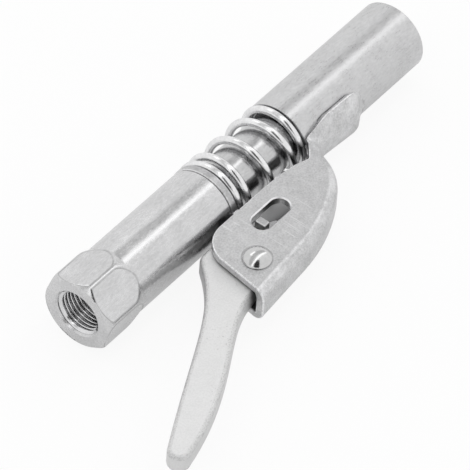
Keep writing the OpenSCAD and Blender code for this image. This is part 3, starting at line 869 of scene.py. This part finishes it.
class COUPLER_OT_bracket(bpy.types.Operator):
    """Form the stamped bracket: a channel that runs into an ear on the sleeve"""
    bl_idname = "coupler.bracket"
    bl_label = "Lever Bracket"

    # In mm: how far a slot's rim reaches through the sheet on each side and how far it flares
    rim_deep, rim_flare = 0.26, 0.52
    # In mm: radii inside the ear's sides and inside its middle
    lip_r, strap_r = 8.22, 7.75

    def stations(self, half, bend):
        """Back point, edge point, corner half width and bend radius of each section, rear to toe"""
        slope, first_r, second_r = radians(4.9), 40.0, 14.0
        start = Vector((41.0, 25.8))
        first_c = start - first_r * slant(slope)
        mid, last = radians(30.2), radians(70)
        second_c = first_c + (first_r - second_r) * slant(mid)
        tip = second_c + second_r * slant(last)
        strap, sleeve = 9.2, 8.05
        waist_r = (tip.y - strap) / (1 - cos(last))
        waist_x = tip.x + waist_r * sin(last)
        lap_half, lap_flare = 39, 2
        rear_x, notch_x, notch_y, notch_r = 25.2, 33.9, 15.95, 7
        lower = [(44.0, 8.95), (48.3, 8.95), (53.7, 9.3), (57.4, 9.85), (60.5, 10.9)]
        found = []

        def section(back, edge, width, radius):
            found.append((Vector(back), Vector(edge), width, radius))

        # The rear, with its lower edge round a notch for the lever
        for t in shares(12):
            x = rear_x + (notch_x - rear_x) * t
            a = radians(195 + 75 * t)
            section((x, start.y + tan(slope) * (start.x - x)),
                    (notch_x + notch_r * cos(a), notch_y + notch_r * sin(a), half), half, bend)
        # The back's two arcs
        for t in shares(10):
            section(first_c + first_r * slant(slope + (mid - slope) * t),
                    (*along_line(lower[:3], t), half), half, bend)
        for t in shares(14, 1):
            section(second_c + second_r * slant(mid + (last - mid) * t),
                    (*along_line(lower[2:], t), half), half, bend)

        def lap(x, radius, angle):
            return (x, radius * cos(radians(angle)), radius * sin(radians(angle)))

        rim = [(60.5, 10.9, 4.3), (62.4, 9.4, 4.3), (63.9, 8.2, 4.3), (64.4, 7.1, 4.32), (66.0, 7.1, 4.8),
               (68.0, 7.2, 5.4), lap(waist_x, strap, lap_half)]
        # The waist, where the channel opens round the sleeve
        for t in shares(20, 1):
            a = radians(270) - last * (1 - t)
            section((waist_x + waist_r * cos(a), strap + waist_r + waist_r * sin(a)),
                    along_line(rim, t), half + (0.37 * strap - half) * t * t, bend + (strap - bend) * t * t)
        strap_end, crest, toe_x = 79.6, 9.8, 83.2
        # The strap along the sleeve
        for t in shares(10, 1):
            x = waist_x + (strap_end - waist_x) * t
            radius = strap + (crest - strap) * t
            section((x, radius), lap(x - 0.9 * t, radius, lap_half + lap_flare * min(1.0, 4 * t)),
                    0.37 * radius, radius)
        fall = crest - sleeve
        toe_r = ((toe_x - strap_end) ** 2 + fall ** 2) / 2 / fall
        toe_a = asin((toe_x - strap_end) / toe_r)
        plan = [(78.7, 41), (79.9, 39.5), (81.0, 35), (81.9, 28), (82.6, 19), (83.0, 9)]
        # The toe, which narrows and comes down on the sleeve
        for t in shares(14, 1):
            a = radians(270) - toe_a * (1 - t)
            radius = sleeve + toe_r + toe_r * sin(a)
            x, angle = along_line(plan, t)
            section((toe_x + toe_r * cos(a), radius), lap(x, radius, angle),
                    radius * tan(radians(angle / 2)), radius)
        return found

    def row(self, back, edge, width, radius):
        """Points across one section: a flat back, a bend and a wall, one half mirrored to the other"""
        down = Vector((edge.x - back.x, edge.y - back.y))
        deep = down.length
        down.normalize()
        wall = Vector((edge.z - width, deep))
        turn = Vector((1, 0)).angle(wall)
        reach = min(radius * tan(turn / 2), 0.97 * width, 0.97 * wall.length)
        radius = reach / tan(turn / 2)
        centre = Vector((width - reach, radius))
        path = [Vector(((width - reach) * k / 3, 0)) for k in (1, 2)]
        path += [centre + radius * Vector((sin(a), -cos(a))) for a in (turn * t for t in shares(8))]
        path += [path[-1].lerp(Vector((edge.z, deep)), t) for t in shares(3, 1)]
        half = [(back.x + down.x * p.y, -(back.y + down.y * p.y), p.x) for p in path]
        other = [(x, y, -z) for x, y, z in reversed(half)]
        return other + [(back.x, -back.y, 0.0)] + half

    def slot_middle(self, x):
        """The nearest point on a slot's middle line"""
        return Vector((min(max(x, SLOT_ENDS[0]), SLOT_ENDS[1]), SLOT_Y))

    def slot_rim(self, outline, half, side):
        """A cutter that flares a slot outward, for its rolled rim"""
        rim = plate("slot_rim", outline, (half - self.rim_deep) * side, (half + self.rim_deep) * side)
        for vertex in rim.data.vertices:
            x, y, z = vertex.co / MM
            if abs(z) > half:
                middle = self.slot_middle(x)
                flared = middle + (Vector((x, y)) - middle) * (SLOT_R + self.rim_flare) / SLOT_R
                vertex.co = Vector((flared.x, flared.y, z)) * MM
        return rim

    def on_rim(self, face):
        """1 on a slot's rim, where the finish paints a highlight, otherwise 0"""
        x, y, z = face.center / MM
        away = (Vector((x, y)) - self.slot_middle(x)).length
        return float(2.15 < away < 2.7 and abs(z) > 3.8 and 0.3 < abs(face.normal.z) < 0.95)

    def on_bend(self, face):
        """How much a face lies on a bend or on the ear, where the finish paints a highlight patched like wear
        """
        if face.normal.y >= 0.1:
            return 0.0
        ear = 0.45 if face.center.x > 0.0635 else 0.0
        return max(ear, 0.85 - abs(abs(face.normal.z) - 0.7) / 0.42)

    def ear_inside(self, x, angle):
        """Radius inside the ear, where it laps the sleeve"""
        if x <= SLEEVE_REAR + 0.01:
            return 0.0
        return self.lip_r if angle > 36 and x > 65.5 else self.strap_r

    def execute(self, context):
        sizes = context.scene.coupler.bracket
        half, bend, sheet = (v / MM for v in (sizes.half_width, sizes.bend, sizes.sheet))
        rows = [self.row(*s) for s in self.stations(half, bend)]
        across, along = len(rows[0]), len(rows)
        clear_selection()
        bpy.ops.mesh.primitive_grid_add(x_subdivisions=across - 1, y_subdivisions=along - 1, size=0.1)
        bracket = named("bracket_piece")
        for i, vertex in enumerate(bracket.data.vertices):
            vertex.co = Vector(rows[i // across][i % across]) * MM
        tidy_mesh(bracket, 1e-7)
        if sum(f.normal.y for f in bracket.data.polygons if abs(f.center.z) < 0.001) > 0:
            edit_all(bracket)
            bpy.ops.mesh.flip_normals()
            bpy.ops.object.mode_set(mode="OBJECT")
        apply_modifier(bracket, "SOLIDIFY", thickness=sheet * MM, offset=-1.0, use_even_offset=True)
        push_out(bracket, self.ear_inside)
        edit_all(bracket)
        bpy.ops.mesh.dissolve_limited(angle_limit=radians(0.3))
        bpy.ops.object.mode_set(mode="OBJECT")
        low, high = SLOT_ENDS[0] - SLOT_R, SLOT_ENDS[1] + SLOT_R
        near, far = SLOT_Y + SLOT_R, SLOT_Y - SLOT_R
        outline = rounded([(x, y, SLOT_R) for x, y in ((low, near), (low, far), (high, far), (high, near))],
                          per_arc=14)
        soften(bracket, sizes.edge, 3, 48.0, 32.0, [
            plate("slot_cut", outline, -6, 6), self.slot_rim(outline, half, 1),
            self.slot_rim(outline, half, -1), pivot_rod("rivet_cut", 2.05)])
        # Bends, the ear and slot rims, where the sheet finish paints highlights
        note_faces(bracket, "bend", self.on_bend)
        note_faces(bracket, "rim", self.on_rim)
        # Inner faces of the channel, where the sheet finish paints shade
        note_faces(bracket, "inside", lambda face: float(abs(face.center.z) < (half - sheet + 0.3) * MM
                                                         and face.normal.z * face.center.z < 0))
        place(bracket, "sleeve_set", ["lever_bracket"],
              plated_sheet(context.scene.coupler.finishes.sheet))
        return {"FINISHED"}


class COUPLER_OT_rivet(bpy.types.Operator):
    """Turn the pivot rivet with its two domed heads"""
    bl_idname = "coupler.rivet"
    bl_label = "Pivot Rivet"

    def execute(self, context):
        seat, rim, rise, shank, wall = 4.32, 3.2, 1.9, 2.0, 0.24
        high = rise - wall
        dome_r = (rim ** 2 + high ** 2) / 2 / high
        dome = [(seat + rise - dome_r + sqrt(dome_r ** 2 - r ** 2), r) for r in
                (rim * (1 - t) for t in shares(16))]
        half = [(seat, shank), (seat, rim - 0.1), (seat + 0.04, rim)] + dome
        outline = [(-a, r) for a, r in reversed(half)] + half
        rivet = turned("rivet_piece", outline, steps=96)
        rivet.data.transform(Matrix.Translation(PIVOT * MM) @ Matrix.Rotation(radians(-90), 4, "Y"))
        smooth(rivet, 40.0)
        place(rivet, "sleeve_set", ["pivot_rivet"],
              polished("polished_rivet", context.scene.coupler.finishes.rivet, 0.12, 0.18))
        return {"FINISHED"}


def bezier(points, count):
    """Points on a cubic curve"""
    a, b, c, d = (Vector(p) for p in points)
    found = []
    for t in shares(count):
        s = 1 - t
        found.append(s ** 3 * a + 3 * t * s ** 2 * b + 3 * t * t * s * c + t ** 3 * d)
    return found


class COUPLER_OT_lever(bpy.types.Operator):
    """Model the cast squeeze lever"""
    bl_idname = "coupler.lever"
    bl_label = "Lever"

    def execute(self, context):
        sizes = context.scene.coupler.lever
        half = sizes.thickness / MM / 2
        tip, tip_r = Vector((-15.65, 38.55)), 2.45
        slope, turn = radians(29), radians(21)
        grip = bezier([(25.1, 11.2), (16.9, 21.4), (7.6, 23.3), tip - tip_r * slant(slope)], 28)
        first, last = radians(270) - slope, radians(90) - turn
        cap = [tip + tip_r * spoke(first + (last - first) * k / 16) for k in range(1, 16)]
        back = bezier([tip + tip_r * slant(turn), (6.2, 36.4), (15.2, 25.4), (25.4, 24.2)], 28)
        nose, nose_r = Vector((37.15, 13.0)), 2.3
        toe = [nose + nose_r * spoke(radians(35 - 125 * t)) for t in shares(12)]
        shoulder = [Vector(p) for p in ((30.0, 9.9), (27.5, 9.95), (26.4, 10.15), (25.65, 10.6))]
        head = [Vector((32.0, 22.9)), Vector((34.6, 21.4))] + toe + shoulder
        outline = [(p.x, -p.y) for p in grip + cap + back + head]
        lever = plate("lever_piece", outline, -half, half)
        soften(lever, sizes.edge, 4, 50.0, 35.0, [pivot_rod("lever_hole", 2.08)])
        place(lever, "lever_arm", ["lever"], cast_lever(context.scene.coupler.finishes.lever))
        return {"FINISHED"}


class COUPLER_OT_inner(bpy.types.Operator):
    """Finish the inner CAD parts, which keep their own shapes"""
    bl_idname = "coupler.inner"
    bl_label = "Inner Parts"

    def execute(self, context):
        shades = context.scene.coupler.finishes
        rubber = black_rubber(shades.rubber)
        finishes = {"stem_oring": rubber, "nipple_seal": rubber, "jaw_spreader": rubber,
                    "seal_washer": plated_sheet(shades.sheet),
                    "check_ball": polished("ball_steel", shades.rivet, 0.06, 0.14)}
        for node, material in finishes.items():
            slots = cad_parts[node].data.materials
            slots.clear()
            slots.append(material)
        return {"FINISHED"}


# ---------------------------------------------------------------- stage

class COUPLER_OT_stage(bpy.types.Operator):
    """Lay the floor, set the lights and aim the camera"""
    bl_idname = "coupler.stage"
    bl_label = "Stage"

    def floor(self, context):
        """A pale floor that takes a shadow, and shows nearly white to the camera"""
        seen_glow, glossy_glow = 0.9, 0.42
        clear_selection()
        bpy.ops.mesh.primitive_plane_add(size=6.0, location=(0.03, -0.015, CAD_BOX[0].z - 0.0002))
        floor = named("floor")
        n = Nodes("pale_floor")
        colour = context.scene.coupler.stage.floor
        speck = n.noise(n.spot(), 30.0, 2.0)
        n.link(n.tones(speck, colour, 0.995, 1.005), n.shader.inputs["Base Color"])
        n.shader.inputs["Roughness"].default_value = 0.9
        n.shader.inputs["Specular IOR Level"].default_value = 0.0
        path = n.add("ShaderNodeLightPath")
        mix = n.add("ShaderNodeMixShader")
        seen = n.math("MAXIMUM", path.outputs["Is Camera Ray"], path.outputs["Is Transmission Ray"])
        glow_share = n.math("MAXIMUM", n.mul(seen, seen_glow),
                            n.mul(path.outputs["Is Glossy Ray"], glossy_glow))
        n.link(glow_share, mix.inputs[0])
        n.link(n.shader.outputs[0], mix.inputs[1])
        n.link(n.glow(1.0), mix.inputs[2])
        n.show(mix.outputs[0])
        floor.data.materials.append(n.material)

    def world(self, context):
        """An even white studio"""
        world = bpy.data.worlds.new("studio")
        context.scene.world = world
        world.use_nodes = True
        background = world.node_tree.nodes["Background"]
        background.inputs["Color"].default_value = (1, 1, 1, 1)
        background.inputs["Strength"].default_value = 1.0

    def hang(self, card, material):
        """Hangs a card that shows only in reflections"""
        card.visible_camera = False
        card.visible_shadow = False
        card.data.materials.append(material)

    def strip(self, name, angle, spread, level):
        """A long card beside the body, which shows as a streak in the plate"""
        reach, long, middle, turn = 0.7, 3.0, 0.35, radians(angle)
        clear_selection()
        bpy.ops.mesh.primitive_grid_add(x_subdivisions=8, y_subdivisions=2, size=1.0)
        card = named(name)
        wide = 2 * reach * tan(radians(spread) / 2)
        for vertex in card.data.vertices:
            x, y, _ = vertex.co
            vertex.co = (middle + long * x, reach * cos(turn) - wide * y * sin(turn),
                         reach * sin(turn) + wide * y * cos(turn))
        n = Nodes(name)
        n.tree.nodes.remove(n.shader)
        n.show(n.glow(level))
        self.hang(card, n.material)

    def card(self):
        """A small dark card where a photographer would stand, which shows in the domed heads"""
        away, wide, high = 1.3, 0.8, 1.4
        clear_selection()
        bpy.ops.mesh.primitive_grid_add(x_subdivisions=2, y_subdivisions=4, size=1.0)
        card = named("dark_card")
        facing = VIEW_FROM.to_track_quat("Z", "Y").to_matrix().to_4x4()
        card.data.transform(Matrix.Translation(VIEW_FROM * away) @ facing
                            @ Matrix.Diagonal((wide, high, 1.0, 1.0)))
        n = Nodes("dark_card")
        n.link(n.blend(n.noise(n.spot(), 4.0), (0.02, 0.02, 0.02), (0.04, 0.04, 0.04)),
               n.shader.inputs["Base Color"])
        n.shader.inputs["Roughness"].default_value = 0.9
        self.hang(card, n.material)

    def lamp(self, name, place_at, aim, size, power):
        """One area light, aimed at a point"""
        clear_selection()
        direction = Vector(aim) - Vector(place_at)
        bpy.ops.object.light_add(type="AREA", location=place_at,
                                 rotation=direction.to_track_quat("-Z", "Y").to_euler())
        light = bpy.context.object
        light.name = name
        light.data.shape = "RECTANGLE"
        light.data.size, light.data.size_y = size
        light.data.energy = power

    def camera(self, context):
        """Aims the camera as the photograph was taken"""
        eye = VIEW_FROM * 1.1
        aim = Vector((0.0287, -0.0166, 0.0113))
        right = Vector((0.6353, -0.7718, 0.0262))
        back = (eye - aim).normalized()
        right = (right - back * right.dot(back)).normalized()
        up = back.cross(right)
        bpy.ops.object.camera_add(location=eye)
        camera = bpy.context.object
        facing = Matrix((right, up, back)).transposed()
        camera.matrix_world = Matrix.Translation(eye) @ facing.to_4x4()
        camera.data.lens = context.scene.coupler.stage.lens
        camera.data.sensor_width = 36.0
        camera.data.clip_start = 0.01
        context.scene.camera = camera

    def execute(self, context):
        context.scene.view_settings.view_transform = "Standard"
        self.world(context)
        self.floor(context)
        self.strip("overhead_strip", 95.5, 11, 1.9)
        self.strip("grey_strip", 72, 24, 0.66)
        self.card()
        self.lamp("key", (0.2, 0.5, 1.0), (0.04, 0, 0), (0.6, 0.6), 1.0)
        self.camera(context)
        return {"FINISHED"}


# ---------------------------------------------------------------- panel and registration

class COUPLER_PT_pieces(bpy.types.Panel):
    """Lists the coupler's pieces and their sizes"""
    bl_label = "Grease Coupler"
    bl_idname = "COUPLER_PT_pieces"
    bl_space_type = "VIEW_3D"
    bl_region_type = "UI"
    bl_category = "Coupler"

    def draw(self, context):
        for operator in OPERATORS:
            self.layout.operator(operator.bl_idname)
        settings = context.scene.coupler
        for part in settings.__annotations__:
            box = self.layout.box()
            box.label(text=part.title())
            values = getattr(settings, part)
            for key in values.__annotations__:
                box.prop(values, key)


OPERATORS = (COUPLER_OT_inlet, COUPLER_OT_stem, COUPLER_OT_anchor, COUPLER_OT_spring, COUPLER_OT_sleeve,
             COUPLER_OT_jaws, COUPLER_OT_bracket, COUPLER_OT_lever, COUPLER_OT_rivet, COUPLER_OT_inner,
             COUPLER_OT_stage)
CLASSES = (CouplerBodySizes, CouplerSpringSizes, CouplerBracketSizes, CouplerLeverSizes, CouplerFinishes,
           CouplerStageSettings, CouplerSettings, *OPERATORS, COUPLER_PT_pieces)


def register():
    for cls in CLASSES:
        bpy.utils.register_class(cls)
    bpy.types.Scene.coupler = bpy.props.PointerProperty(name="Coupler", description="Settings of the coupler",
                                                        type=CouplerSettings)


def unregister():
    del bpy.types.Scene.coupler
    for cls in reversed(CLASSES):
        bpy.utils.unregister_class(cls)


def main():
    register()
    bpy.ops.coupler.inlet()
    bpy.ops.coupler.stem()
    bpy.ops.coupler.anchor()
    bpy.ops.coupler.spring()
    bpy.ops.coupler.sleeve()
    bpy.ops.coupler.jaws()
    bpy.ops.coupler.bracket()
    bpy.ops.coupler.lever()
    bpy.ops.coupler.rivet()
    bpy.ops.coupler.inner()
    bpy.ops.coupler.stage()
    bpy.context.view_layer.update()


if __name__ == "__main__":
    main()
